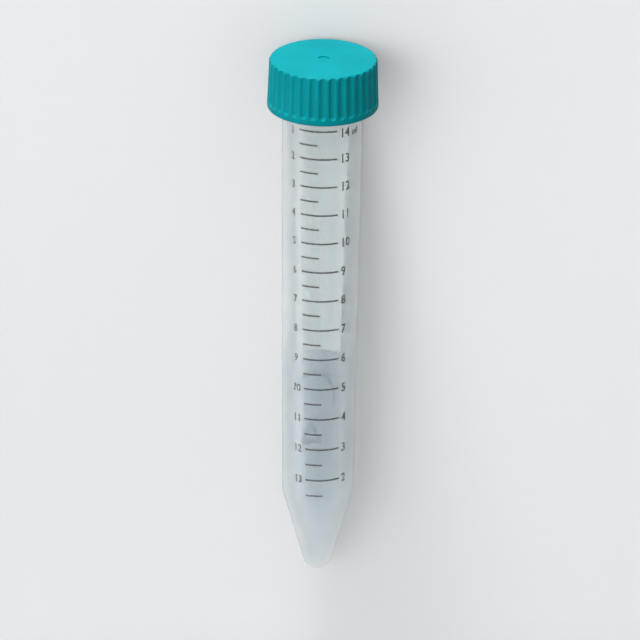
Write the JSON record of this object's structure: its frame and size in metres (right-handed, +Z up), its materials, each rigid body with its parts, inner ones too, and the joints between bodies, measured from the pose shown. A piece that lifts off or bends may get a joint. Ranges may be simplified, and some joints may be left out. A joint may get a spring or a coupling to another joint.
{
  "type": "conical centrifuge tube with screw cap",
  "caption": "Lying 15 ml conical-bottom lab tube of translucent plastic with a graduated wall and a fluted turquoise screw cap that lifts off.",
  "frame": {"origin": "middle of the lying tube's footprint, on the surface it rests on", "axes": "+X along the tube towards the cap, which lifts the axis by 2.4 degrees; +Z up, out of the graduated side; +Y across"},
  "size_m": [0.1202, 0.023, 0.0231],
  "materials": {
    "tube_plastic": "milky translucent natural polypropylene",
    "cap_plastic": "satin opaque turquoise moulded plastic",
    "scale_print": "dark grey ink of the printed scale and signs, on the visual model only",
    "patch_print": "white matte ink of the writing patch, on the visual model only"
  },
  "bodies": {
    "tube": {"tube": "tube_plastic"},
    "cap": {"cap": "cap_plastic"}
  },
  "joints": [
    {"name": "cap_lift", "type": "slide", "parent": "tube", "child": "cap", "axis": [0.9991, 0, 0.0418], "range_m": [0, 0.03]}
  ]
}
